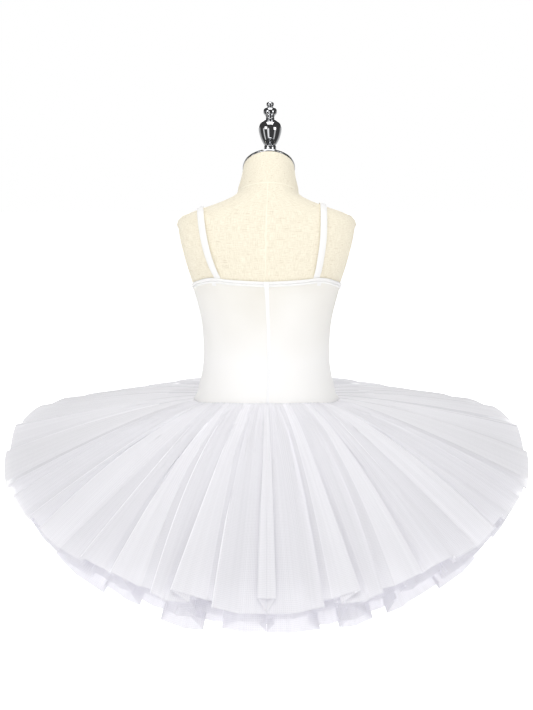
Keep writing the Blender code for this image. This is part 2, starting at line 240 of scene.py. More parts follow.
def colour_ramp(add, link, factor, start, end):
    """A ramp between two (place, colour) pairs."""
    ramp = add("ValToRGB")
    link(factor, ramp.inputs["Fac"])
    for element, (place, colour) in zip(ramp.color_ramp.elements, (start, end)):
        element.position = place
        element.color = (*colour, 1)
    return ramp


def map_range(add, link, value, start, end, low=0.0, high=1.0):
    """A value going from low to high while the one given goes from start to end."""
    limits = {"From Min": start, "From Max": end, "To Min": low, "To Max": high}
    mapped = add("MapRange", **limits)
    link(value, mapped.inputs["Value"])
    return mapped.outputs["Result"]


def add_bump(add, link, shader, height, strength, distance):
    """Fine relief in the shader's surface."""
    bump = add("Bump", Strength=strength, Distance=distance)
    link(height, bump.inputs["Height"])
    link(bump.outputs["Normal"], shader.inputs["Normal"])


def slub_linen(name, dark, light):
    """Linen with thick and thin threads both ways, between two colours, and a few dark flecks."""
    made, shader, add, link = new_material(name, light, 0.85)
    where = add("UVMap")

    def streaks(scale, detail, roughness):
        way = add("Mapping", Scale=scale)
        noise = add("TexNoise", Scale=1.0, Detail=detail, Roughness=roughness)
        link(where.outputs["UV"], way.inputs["Vector"])
        link(way.outputs["Vector"], noise.inputs["Vector"])
        return noise.outputs["Fac"]

    weft = streaks((150, 1500, 1), 3.0, 0.6)
    warp = streaks((1500, 110, 1), 3.0, 0.6)
    both = math_node(add, link, "ADD", weft, warp)
    half = math_node(add, link, "MULTIPLY", both, 0.5)
    threads = colour_ramp(add, link, half, (0.30, dark), (0.60, light))
    spots = streaks((75, 1000, 1), 2.0, 0.5)
    flecks = colour_ramp(add, link, spots, (0.65, (1, 1, 1)), (0.75, (0.55, 0.42, 0.28)))
    colour = add("Mix", data_type="RGBA", blend_type="MULTIPLY", Factor=0.6)
    link(threads.outputs["Color"], colour.inputs[6])
    link(flecks.outputs["Color"], colour.inputs[7])
    link(colour.outputs[2], shader.inputs["Base Color"])
    add_bump(add, link, shader, both, 0.25, 0.0004)
    shader.inputs["Sheen Weight"].default_value = 0.15
    return made


def torso_place(column, row):
    low, high = SECTIONS[0].height, SECTIONS[-1].height
    return body_point(360 * column / TORSO_COLUMNS, low + (high - low) * row / TORSO_ROWS)


linen = slub_linen("slub linen", (0.71, 0.64, 0.49), (0.92, 0.865, 0.72))
torso = lay_cloth(
    "padded_torso", TORSO_COLUMNS, TORSO_ROWS, torso_place, COVER_CUT, linen, closed=True
)
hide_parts("form_torso")
# The seams' linen is painted lighter than the cover, a painted highlight along their ridges.
highlight_linen = slub_linen("linen seam, painted highlight", (0.85, 0.79, 0.64), (0.96, 0.91, 0.77))


def cover_seam(name, steps, point_on):
    """A narrow ridge along point_on(part, across, out), sunk at its edges.

    Its linen is painted lighter, a painted highlight along the ridge.
    """

    def place(column, row):
        across = 2 * column / COVER_SEAM_COLUMNS - 1
        out = COVER_SEAM_RISE * (math.sqrt(max(1 - across**4, 0)) - COVER_SEAM_SUNK)
        return point_on(row / steps, across * COVER_SEAM_WIDTH / 2, out)

    cut = (COVER_SEAM_WIDTH, COVER_SEAM_LENGTH)
    seam = lay_cloth(name, COVER_SEAM_COLUMNS, steps, place, cut, highlight_linen)


def on_neck(part, across, out):
    return body_point(-360 * part, NECK_SEAM_HEIGHT + across, out)


def on_cover_back(part, across, out):
    height = COVER_SEAM[0].height + (NECK_SEAM_HEIGHT - COVER_SEAM[0].height) * part
    middle = row_at(COVER_SEAM, height).across - row_at(SECTIONS, height).lean
    turn = math.degrees((middle + across) / row_at(SECTIONS, height).half_width)
    return body_point(turn, height, out)


cover_seam("neck_seam", NECK_SEAM_STEPS, on_neck)
cover_seam("cover_back_seam", BACK_COVER_SEAM_STEPS, on_cover_back)


# ---- The neck cap and the finial -----------------------------------------------------------------
# A pressed metal disc closes the slanted neck, with a rolled rim, and carries a turned knob: a
# button, a ball and a vase on a short foot. Both are chromed.

CAP_THICKNESS = 0.0036
CAP_OVERHANG = 0.0008
CAP_EDGE = 0.0012
CAP_EDGE_STEPS = 4
METAL_GAP = 0.0003
CHROME_STEPS = 96
CHROME_SHARP = 40
FINIAL_STEPS = 72
FINIAL_ROWS = 90
FINIAL_ASIDE = 0.0017

# Down is how far along the outline from the tip, and heights are over the hip seam.
Turned = namedtuple("Turned", "down radius height")
FINIAL = (
    Turned(0.000, 0.0000, 0.4306),
    Turned(0.030, 0.0032, 0.4302),
    Turned(0.058, 0.0053, 0.4278),
    Turned(0.090, 0.0048, 0.4246),
    Turned(0.108, 0.0036, 0.4234),
    Turned(0.145, 0.0072, 0.4222),
    Turned(0.195, 0.0095, 0.4186),
    Turned(0.240, 0.0092, 0.4146),
    Turned(0.285, 0.0066, 0.4112),
    Turned(0.320, 0.0060, 0.4078),
    Turned(0.360, 0.0092, 0.4054),
    Turned(0.425, 0.0136, 0.4016),
    Turned(0.495, 0.0159, 0.3960),
    Turned(0.570, 0.0158, 0.3900),
    Turned(0.680, 0.0132, 0.3806),
    Turned(0.770, 0.0096, 0.3734),
    Turned(0.805, 0.0080, 0.3712),
    Turned(0.830, 0.0086, 0.3690),
    Turned(1.000, 0.0086, 0.3370),
)


def polished_chrome():
    """Chrome plate with faint wiping marks in its gloss."""
    made, shader, add, link = new_material("polished chrome", (0.80, 0.81, 0.83), 0.06)
    shader.inputs["Metallic"].default_value = 1.0
    where = add("TexCoord")
    marks = add("TexNoise", Scale=160.0, Detail=4.0)
    link(where.outputs["Object"], marks.inputs["Vector"])
    gloss = map_range(add, link, marks.outputs["Fac"], 0.0, 1.0, 0.03, 0.13)
    link(gloss, shader.inputs["Roughness"])
    return made


chrome = polished_chrome()


def spun(name, outline, steps, middle=0.0):
    """A turned piece: an outline of (radius, height) spun round an upright axis at x = middle."""
    shape = bmesh.new()
    points = [shape.verts.new((radius, 0, height)) for radius, height in outline]
    edges = [shape.edges.new(pair) for pair in zip(points, points[1:])]
    bmesh.ops.spin(
        shape,
        geom=points + edges,
        axis=(0, 0, 1),
        cent=(0, 0, 0),
        angle=math.tau,
        steps=steps,
        use_merge=True,
    )
    bmesh.ops.remove_doubles(shape, verts=shape.verts, dist=MERGE_WITHIN)
    bmesh.ops.recalc_face_normals(shape, faces=shape.faces)
    bmesh.ops.translate(shape, verts=shape.verts, vec=(middle, 0, 0))
    piece = finish_piece(name, shape, chrome, sharp=CHROME_SHARP)
    return piece


neck = SECTIONS[-1]
slant = math.radians(neck.tilt)
cap_up = Vector((0, -math.sin(slant), math.cos(slant)))
cap_foot = Vector((neck.lean, (neck.back - neck.front) / 2, HIP_SEAM_HEIGHT + neck.height))
cap_radius = neck.half_width + CAP_OVERHANG
cap_depth = (neck.back + neck.front) / 2 / math.cos(slant) + CAP_OVERHANG

shape = bmesh.new()
sizes = {"radius1": cap_radius, "radius2": cap_radius, "depth": CAP_THICKNESS}
bmesh.ops.create_cone(shape, cap_ends=True, segments=CHROME_STEPS, **sizes)
rims = [edge for edge in shape.edges if edge.verts[0].co.z * edge.verts[1].co.z > 0]
bmesh.ops.bevel(
    shape,
    geom=rims,
    offset=CAP_EDGE,
    segments=CAP_EDGE_STEPS,
    profile=0.5,
    affect="EDGES",
    material=-1,
)
bmesh.ops.scale(shape, verts=shape.verts, vec=(1, cap_depth / cap_radius, 1))
bmesh.ops.rotate(shape, verts=shape.verts, matrix=Matrix.Rotation(slant, 3, "X"))
cap_middle = cap_foot + cap_up * (METAL_GAP + CAP_THICKNESS / 2)
bmesh.ops.translate(shape, verts=shape.verts, vec=cap_middle)
cap = finish_piece("chromed_neck_cap", shape, chrome, sharp=CHROME_SHARP)
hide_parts("form_neck_cap")

outline = []
for row in range(FINIAL_ROWS + 1):
    place = row_at(FINIAL, row / FINIAL_ROWS)
    outline.append((max(place.radius, 0), HIP_SEAM_HEIGHT + place.height))
finial = spun("chromed_finial", outline, FINIAL_STEPS, middle=neck.lean - FINIAL_ASIDE)

# The foot of the finial is cut to the cap's slant.
shape = bmesh.new()
shape.from_mesh(finial.data)
bmesh.ops.bisect_plane(
    shape,
    geom=shape.verts[:] + shape.edges[:] + shape.faces[:],
    plane_co=cap_foot + cap_up * (2 * METAL_GAP + CAP_THICKNESS),
    plane_no=cap_up,
    clear_inner=True,
)
bmesh.ops.holes_fill(shape, edges=shape.edges)
shape.to_mesh(finial.data)
shape.free()
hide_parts("form_finial")


# ---- The stand -----------------------------------------------------------------------------------
# A heavy round base, a collar and a short pole, all chromed, under the skirt.

BASE_STEPS = 128
ROUNDING_STEPS = 6
STAND_EDGE = 0.0020
POLE_EDGE = 0.0006


def rounded(radius, low, high, edge):
    """A turned outline, top to bottom, with both its edges rounded."""
    turns = [math.radians(90 * step / ROUNDING_STEPS) for step in range(ROUNDING_STEPS + 1)]
    top = [(radius - edge * (1 - math.sin(a)), high - edge * (1 - math.cos(a))) for a in turns]
    foot = [(radius - edge * (1 - math.cos(a)), low + edge * (1 - math.sin(a))) for a in turns]
    return [(0, high), *top, *foot, (0, low)]


def stand_part(name, solid, edge, steps):
    """A round part of the stand, as wide and as high as this solid."""
    (_, _, low), (radius, _, high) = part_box(solid)
    return spun(name, rounded(radius, low, high, edge), steps)


base = stand_part("weighted_base", "stand_base", STAND_EDGE, BASE_STEPS)
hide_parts("stand_base")
collar = stand_part("pole_collar", "stand_collar", STAND_EDGE, CHROME_STEPS)
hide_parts("stand_collar")
pole = stand_part("stand_tube", "stand_pole", POLE_EDGE, CHROME_STEPS)
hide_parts("stand_pole")


# ---- The bodice ----------------------------------------------------------------------------------
# A camisole in thin white stretch knit: one front and two backs, stretched over the torso and sewn
# together up the sides and down the back, where the seam pulls a little towards the right.

BODY_CLEARANCE = 0.0008
SEAM_GAP = 0.0003
KNIT_WALL = 0.0008
BODICE_ROWS = 72
BODICE_COLUMNS_A_QUARTER = 44
FRONT_CUT = (0.290, 0.198)
BACK_CUT = (0.145, 0.182)
HIP_FLARE = 0.0009
HIP_FLARE_REACH = 0.011
PUCKER_RISE = 0.0034
PUCKER_TURN = 84
PUCKER_WIDTH = 16
PUCKER_REACH = 0.012
PUCKER_START = 0.002
PUCKER_TROUGH = -0.2
PUCKER_FAN = (16, 260)
PULL_WIDTH = 60
KNIT_WARM_SHADE_FROM = 0.070
KNIT_WARM_SHADE_AT = 0.175

# The edges' heights over the hip seam's lowest place, by the turn on either half.
Edge = namedtuple("Edge", "turn height")
NECKLINE = (
    Edge(0, 0.1870),
    Edge(25, 0.1890),
    Edge(42, 0.1905),
    Edge(65, 0.1830),
    Edge(90, 0.1755),
    Edge(115, 0.1830),
    Edge(149, 0.2035),
    Edge(166, 0.2005),
    Edge(180, 0.1965),
)
HIP_SEAM = (
    Edge(0, 0.0170),
    Edge(35, 0.0130),
    Edge(65, 0.0040),
    Edge(90, 0.0000),
    Edge(130, 0.0010),
    Edge(180, 0.0020),
)
BACK_SEAM = (
    SeamRun(0.000, -0.0013),
    SeamRun(0.030, -0.0015),
    SeamRun(0.070, -0.0024),
    SeamRun(0.112, -0.0024),
    SeamRun(0.155, -0.0010),
    SeamRun(0.195, 0.0006),
)


def stretch_knit(name, white, warm_and_shade):
    """White stretch knit in fine ribs, tinted warmer and darker towards the chest.

    The tint is partly the linen under it showing through and partly painted shade.
    """
    made, shader, add, link = new_material(name, white, 0.7)
    where = add("UVMap")
    ribs = add("TexWave", Scale=320.0, Distortion=0.5, Detail=1.0, bands_direction="X")
    rows = add("TexWave", Scale=420.0, Distortion=0.3, bands_direction="Y")
    cloudy = add("TexNoise", Scale=11.0, Detail=1.0)
    for pattern in (ribs, rows, cloudy):
        link(where.outputs["UV"], pattern.inputs["Vector"])
    split = add("SeparateXYZ")
    place = add("TexCoord")
    link(place.outputs["Object"], split.inputs["Vector"])
    # Painted shade in part: from here up towards the chest the knit is tinted warmer and darker,
    # unevenly.
    low, high = HIP_SEAM_HEIGHT + KNIT_WARM_SHADE_FROM, HIP_SEAM_HEIGHT + KNIT_WARM_SHADE_AT
    height = map_range(add, link, split.outputs["Z"], low, high)
    through = math_node(add, link, "MULTIPLY", height, cloudy.outputs["Fac"])
    tint_and_shade = colour_ramp(add, link, through, (0.0, white), (0.60, warm_and_shade))
    link(tint_and_shade.outputs["Color"], shader.inputs["Base Color"])
    both = math_node(add, link, "ADD", ribs.outputs["Fac"], rows.outputs["Fac"])
    add_bump(add, link, shader, both, 0.15, 0.0002)
    shader.inputs["Sheen Weight"].default_value = 0.2
    return made


def back_seam_turn(height):
    """How far round the centre-back seam has pulled at this height, in degrees."""
    return math.degrees(row_at(BACK_SEAM, height).across / row_at(SECTIONS, height).back)


def hip_pucker(turn, up):
    """Small ridges that fan out from the side corners, where the hip seam pulls the knit."""
    from_side = half_turn(turn) - PUCKER_TURN
    near = math.exp(-((from_side / PUCKER_WIDTH) ** 2))
    near *= math.exp(-up / PUCKER_REACH) * min(up / PUCKER_START, 1)
    fan = math.sin(math.radians(from_side) * PUCKER_FAN[0] + up * PUCKER_FAN[1])
    return PUCKER_RISE * near * max(fan, PUCKER_TROUGH)


def hip_flare(up):
    """How far the gathers under the hip seam push the cloth out, at this height over the seam."""
    return HIP_FLARE * math.exp(-max(up, 0) / HIP_FLARE_REACH)


def knit_wall(piece):
    """Gives a piece of knit its thickness, outwards."""
    wall = piece.modifiers.new("Knit wall", "SOLIDIFY")
    wall.thickness = KNIT_WALL
    wall.offset = 1


# The second colour is partly the linen's warmth through the knit and partly painted shade.
knit = stretch_knit("stretch knit", (0.965, 0.955, 0.935), (0.80, 0.775, 0.71))
hips = SECTIONS[3]


def bodice_panel(name, node, start, end, cut):
    """A knit panel between two turns, from the hip seam to the neckline.

    Beside the back seam it's pulled round with the seam.
    """
    columns = round(BODICE_COLUMNS_A_QUARTER * (end - start) / 90)
    trim = math.degrees(SEAM_GAP / 2 / hips.back)

    def place(column, row):
        turn = start + trim + (end - start - 2 * trim) * column / columns
        low = row_at(HIP_SEAM, half_turn(turn)).height
        high = row_at(NECKLINE, half_turn(turn)).height
        up = (high - low) * row / BODICE_ROWS
        pulled = back_seam_turn(low + up) * max(1 - half_turn(turn) / PULL_WIDTH, 0)
        out = BODY_CLEARANCE + hip_pucker(turn, up) + hip_flare(up)
        return body_point(turn + pulled, low + up, out)

    panel = lay_cloth(name, columns, BODICE_ROWS, place, cut, knit)
    knit_wall(panel)
    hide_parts(node)
    return panel


front = bodice_panel("bodice_front_panel", "bodice_front", 90, 270, FRONT_CUT)
left_back = bodice_panel("bodice_left_back_panel", "bodice_back_left", 0, 90, BACK_CUT)
right_back = bodice_panel("bodice_right_back_panel", "bodice_back_right", 270, 360, BACK_CUT)

# The seams show as narrow ridges, and the back one runs up over the neckline binding.
RIDGE_COLUMNS = 8
RIDGE_ROWS = 60
RIDGE_SUNK = 0.6
BINDING_FOOT = 0.1785
BINDING_STEP = 0.0019
BINDING_STEP_LENGTH = 0.0015
Ridge = namedtuple("Ridge", "low high width rise cut_length")
BACK_RIDGE = Ridge(0.0175, 0.1872, 0.0038, 0.0009, 0.170)
SIDE_RIDGE = Ridge(0.0005, 0.1750, 0.0040, 0.0005, 0.175)
doubled_knit = stretch_knit("stretch knit, doubled", (0.93, 0.93, 0.93), (0.93, 0.93, 0.93))


def raised_seam(name, ridge, place_on):
    """A narrow seam ridge along place_on(height, across, out), where four thicknesses lie together."""

    def place(column, row):
        height = ridge.low + (ridge.high - ridge.low) * row / RIDGE_ROWS
        across = 2 * column / RIDGE_COLUMNS - 1
        out = BODY_CLEARANCE + KNIT_WALL * RIDGE_SUNK
        out += ridge.rise * math.sqrt(max(1 - across**4, 0))
        return place_on(height, across * ridge.width / 2, out)

    cut = (ridge.width, ridge.cut_length)
    seam = lay_cloth(name, RIDGE_COLUMNS, RIDGE_ROWS, place, cut, doubled_knit)
    return seam


def on_back_seam(height, across, out):
    turn = back_seam_turn(height) + math.degrees(across / row_at(SECTIONS, height).back)
    over_binding = BINDING_STEP * min(max((height - BINDING_FOOT) / BINDING_STEP_LENGTH, 0), 1)
    low = row_at(HIP_SEAM, half_turn(turn)).height
    return body_point(turn, height, out + over_binding + hip_flare(height - low))


def on_side_seam(turn):
    def place_on(height, across, out):
        ahead = math.degrees(across / row_at(SECTIONS, height).front)
        return body_point(turn + ahead, height, out + hip_flare(height))

    return place_on


back_seam = raised_seam("centre_back_seam", BACK_RIDGE, on_back_seam)
side_seams = [
    raised_seam(f"{side}_side_seam", SIDE_RIDGE, on_side_seam(turn))
    for side, turn in (("left", 90), ("right", 270))
]


# ---- The neckline binding ------------------------------------------------------------------------
# A strip of the knit folded over the raw neckline with elastic inside, and stitched down along a
# groove: above the stitches the edge rolls round the elastic, and below them it lies flatter.

BINDING_CUT = (0.600, 0.012)
BINDING_WIDTH = 0.007
BINDING_COLUMNS = 320
BINDING_OUT = 0.0018
STITCH_PITCH = 0.0030
STITCH_SIZE = (0.0021, 0.00045, 0.00035)
STITCH_UP, STITCH_OUT = 0.0031, 0.0001
STITCH_AHEAD = 0.4

# From the lower edge, over the flat part, the groove and the roll, and down behind the top edge.
FoldOver = namedtuple("FoldOver", "up out")
BINDING_SECTION = (
    FoldOver(0.0000, -0.0006),
    FoldOver(0.0001, 0.0009),
    FoldOver(0.0007, 0.0013),
    FoldOver(0.0017, 0.0013),
    FoldOver(0.0024, 0.0009),
    FoldOver(0.0029, -0.0001),
    FoldOver(0.0033, 0.0000),
    FoldOver(0.0039, 0.0011),
    FoldOver(0.0049, 0.0015),
    FoldOver(0.0060, 0.0013),
    FoldOver(0.0068, 0.0006),
    FoldOver(0.0070, -0.0004),
    FoldOver(0.0068, -0.0012),
)


def neckline_place(turn, up, out):
    """A point beside the neckline, this far up from the binding's lower edge."""
    height = row_at(NECKLINE, half_turn(turn)).height - BINDING_WIDTH + up
    return body_point(turn, height, BINDING_OUT + out)


def binding_place(column, row):
    bend = BINDING_SECTION[row]
    return neckline_place(360 * column / BINDING_COLUMNS, bend.up, bend.out)


elastic_knit = stretch_knit("stretch knit, on elastic", (0.89, 0.885, 0.875), (0.89, 0.885, 0.875))
binding = lay_cloth(
    "rolled_neckline_binding",
    BINDING_COLUMNS,
    len(BINDING_SECTION) - 1,
    binding_place,
    BINDING_CUT,
    elastic_knit,
)
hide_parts("neckline_binding")


def row_of_stitches(name, where, count, thread):
    """Small stitches end to end round the body, each laid along where(turn)."""
    shape = bmesh.new()
    for number in range(count):
        turn = 360 * (number + 0.5) / count
        middle, ahead = where(turn), where(turn + STITCH_AHEAD)
        along = (ahead - middle).normalized()
        out = Vector((middle.x, middle.y, 0)).normalized()
        turned_by = Matrix((along, out, along.cross(out))).transposed().to_4x4()
        made = bmesh.ops.create_icosphere(shape, subdivisions=1, radius=0.5)
        bmesh.ops.scale(shape, verts=made["verts"], vec=STITCH_SIZE)
        bmesh.ops.transform(
            shape, verts=made["verts"], matrix=Matrix.Translation(middle) @ turned_by
        )
    stitches = finish_piece(name, shape, thread, sharp=180)
    return stitches


def on_stitch_line(turn):
    return neckline_place(turn, STITCH_UP, STITCH_OUT)


def white_thread():
    """White polyester thread, with its twist in the bump."""
    made, shader, add, link = new_material("white thread", (0.93, 0.93, 0.92), 0.5)
    where = add("TexCoord")
    twist = add("TexWave", Scale=900.0, Distortion=1.0, bands_direction="DIAGONAL")
    link(where.outputs["Object"], twist.inputs["Vector"])
    add_bump(add, link, shader, twist.outputs["Fac"], 0.3, 0.0001)
    return made


stitches_round = round(BINDING_CUT[0] / STITCH_PITCH)
neckline_stitches = row_of_stitches(
    "neckline_stitches", on_stitch_line, stitches_round, white_thread()
)


# ---- The straps ----------------------------------------------------------------------------------
# Two narrow shoulder straps of doubled knit round elastic, stitched along both edges. Their ends
# go in behind the binding and are caught down just below it, where they show as a small tab.

STRAP_CUT = (0.010, 0.265)
STRAP_WIDTH = 0.0090
STRAP_CLEARANCE = 0.0016
STRAP_THICKNESS = 0.0014
STRAP_ROWS = 110
STRAP_SECTION_STEPS = 20
STRAP_FLATNESS, STRAP_ROUNDNESS = 0.6, 0.8
STRAP_GROOVE_DEPTH = 0.0002
STRAP_GROOVE_PLACE = 0.68
STRAP_GROOVE_WIDTH = 0.08
STRAP_AXIS_HEIGHT = 0.1934
STRAP_TUCK = 3.5
STRAP_THINS_OVER = 7
TUCKED_CLEARANCE = 0.35
TUCKED_THICKNESS = 0.25
OUTSIDE_THE_TORSO = 0.3
TAB_SIZE = (0.0090, 0.0085)
TAB_COLUMNS = 10
TAB_ROWS = 6
TAB_RISE = 0.0004
TAB_SUNK = 0.7
TAB_UNDER_BINDING = 0.05
TAB_BACK_TURN = 40.2
TAB_FRONT_TURN = 144.0

# Over is the angle over the shoulder from the back, round an axis across the body; left and right
# are how far each strap's middle stands out from the centre there.
StrapPlace = namedtuple("StrapPlace", "over left right")
STRAPS = (
    StrapPlace(0, 0.0680, 0.0690),
    StrapPlace(20, 0.0770, 0.0733),
    StrapPlace(45, 0.0860, 0.0776),
    StrapPlace(68, 0.0912, 0.0782),
    StrapPlace(90, 0.0922, 0.0780),
    StrapPlace(135, 0.0790, 0.0730),
    StrapPlace(173, 0.0610, 0.0610),
)


def shoulder_strap(side_name, side, surface):
    """A strap laid over the shoulder along the torso's own surface."""
    end = STRAPS[-1].over
    first, last = -STRAP_TUCK, end + STRAP_TUCK
    axis_height = HIP_SEAM_HEIGHT + STRAP_AXIS_HEIGHT

    def place(column, row):
        over = first + (last - first) * row / STRAP_ROWS
        spot = row_at(STRAPS, min(max(over, 0), end))
        middle = spot.left if side > 0 else spot.right
        angle = math.tau * column / STRAP_SECTION_STEPS
        across = math.copysign(abs(math.cos(angle)) ** STRAP_FLATNESS, math.cos(angle))
        up = math.copysign(abs(math.sin(angle)) ** STRAP_ROUNDNESS, math.sin(angle))
        from_groove = (abs(across) - STRAP_GROOVE_PLACE) / STRAP_GROOVE_WIDTH
        groove = STRAP_GROOVE_DEPTH * math.exp(-(from_groove**2))
        full = min(max(over / STRAP_THINS_OVER, 0), 1)
        full *= min(max((end - over) / STRAP_THINS_OVER, 0), 1)
        out = STRAP_CLEARANCE * (TUCKED_CLEARANCE + (1 - TUCKED_CLEARANCE) * full)
        thickness = STRAP_THICKNESS * (TUCKED_THICKNESS + (1 - TUCKED_THICKNESS) * full)
        out += thickness * (0.5 + 0.5 * up) - groove * (up > 0)
        axis = Vector((side * (middle + across * STRAP_WIDTH / 2), 0, axis_height))
        lean = math.radians(over)
        way = Vector((0, math.cos(lean), math.sin(lean)))
        point, normal, _, _ = surface.ray_cast(axis + way * OUTSIDE_THE_TORSO, -way)
        return point + normal * out

    strap = lay_cloth(
        f"{side_name}_shoulder_strap",
        STRAP_SECTION_STEPS,
        STRAP_ROWS,
        place,
        (2 * STRAP_WIDTH, STRAP_CUT[1]),
        elastic_knit,
        turned_over=side > 0,
        closed=True,
    )
    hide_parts(f"strap_{side_name}")
    tabs = [
        strap_tab(f"{side_name}_{end_name}_tab", side * turn)
        for end_name, turn in (("back", TAB_BACK_TURN), ("front", TAB_FRONT_TURN))
    ]


underarm = SECTIONS[9]


def strap_tab(name, turn):
    """The caught-down end of a strap, a small flat tab under the binding."""

    def place(column, row):
        across, up = 2 * column / TAB_COLUMNS - 1, 2 * row / TAB_ROWS - 1
        rise = TAB_RISE * (1 - across**6) * (1 - up**6)
        ahead = math.degrees(across * TAB_SIZE[0] / 2 / underarm.half_width)
        binding_foot = row_at(NECKLINE, half_turn(turn)).height - BINDING_WIDTH
        height = binding_foot - TAB_SIZE[1] * TAB_UNDER_BINDING + up * TAB_SIZE[1] / 2
        return body_point(turn + ahead, height, BODY_CLEARANCE + KNIT_WALL * TAB_SUNK + rise)

    tab = lay_cloth(name, TAB_COLUMNS, TAB_ROWS, place, TAB_SIZE, elastic_knit)
    return tab


surface = BVHTree.FromObject(torso, bpy.context.evaluated_depsgraph_get())
shoulder_strap("left", 1, surface)
shoulder_strap("right", -1, surface)


# ---- The hip yoke --------------------------------------------------------------------------------
# A band of the same knit below the hip seam, under the skirt, that carries the lower rows of tulle.

YOKE_CUT = (0.625, 0.048)
YOKE_COLUMNS = 160
YOKE_ROWS = 16


def yoke_place(column, row):
    turn = 360 * column / YOKE_COLUMNS
    top = row_at(HIP_SEAM, half_turn(turn)).height - SEAM_GAP
    return body_point(turn, top - YOKE_CUT[1] * (1 - row / YOKE_ROWS), BODY_CLEARANCE)


yoke = lay_cloth("hip_yoke_band", YOKE_COLUMNS, YOKE_ROWS, yoke_place, YOKE_CUT, doubled_knit)
knit_wall(yoke)
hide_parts("hip_yoke")


# ---- The tulle -----------------------------------------------------------------------------------
# Five strips of stiff net, each gathered into its row of stitches: the top one in the hip seam and
# the others below it on the yoke. Each strip falls in knife folds that stay crisp down to the hem.

TULLE_LAYERS = 5
TULLE_ROWS = 30
FIRST_SEED = 40

# How the strips hang: the rows of stitches down from the hip seam, and the curve out to the hems.
TULLE_TOP_DROP = -0.0010
TULLE_ROW_STEP = 0.009
TULLE_SCALLOP = 0.0013
STRIP_GAP = 0.0002
HEM_DROOP = 34
HEM_SPREAD = 1.4
DROOP_CURVE = 1.35
ROW_SPACING = 1.25
CURVE_LONGER = 0.005

# The knife folds, which are looser in the lower strips and where they don't show from behind.
EDGE_WIDTH = 0.0014
EDGE_WIDENS = 5
EDGE_LONGER = 0.001
PANEL_STEPS = 11
PANEL_SWELL = 0.16
SWAY_SHARE = 0.30
SEAM_LEAD, BACK_SEAM_LEAD = 3.0, 2.2
LAP_SHARE, LAP_SPARE = 0.75, 0.4
MOST_FALL = 1.3
SHOWN_FOLDS = 12
SHOWN_LOOSE, HIDDEN_LOOSE = 0.35, 1.3
LAP_LOOSE = (0.6, 1.0)
RISE_LOOSE = (0.85, 1.15)
SWAY_LOOSE = (0.7, 1.3)
LOWER_FOLD_SHARE = 0.8
LOWER_EDGE_SHARE = 0.6
LOWER_UNEVEN = 0.003
HIGHLIGHT_FROM_ROW = 8

# The fine gathers, in groups of columns that reach unevenly far down from the seam.
GATHER_GROUP = 6
GATHER_COLUMNS = 6.0
GATHER_LAP = 5.0
GATHER_RISE = 0.0006
GATHER_REACH = 0.36
GATHER_REACHES = (0.35, 0.6, 0.8, 1.0, 1.5)
GATHER_LOOSE = (0.75, 1.3)

# The top strip's hem and the lowest one's, with heights over the hip seam.
Hem = namedtuple("Hem", "turn top_radius top_height low_radius low_height")
HEMS = (
    Hem(0, 0.378, -0.124, 0.350, -0.180),
    Hem(20, 0.379, -0.119, 0.354, -0.177),
    Hem(40, 0.380, -0.104, 0.356, -0.151),
    Hem(58, 0.376, -0.092, 0.357, -0.128),
    Hem(76, 0.380, -0.084, 0.361, -0.115),
    Hem(90, 0.387, -0.072, 0.375, -0.112),
    Hem(97, 0.392, -0.056, 0.381, -0.104),
    Hem(105, 0.391, -0.047, 0.382, -0.098),
    Hem(112, 0.389, -0.047, 0.381, -0.097),
    Hem(120, 0.387, -0.052, 0.379, -0.098),
    Hem(140, 0.381, -0.062, 0.373, -0.106),
    Hem(180, 0.376, -0.058, 0.368, -0.102),
)

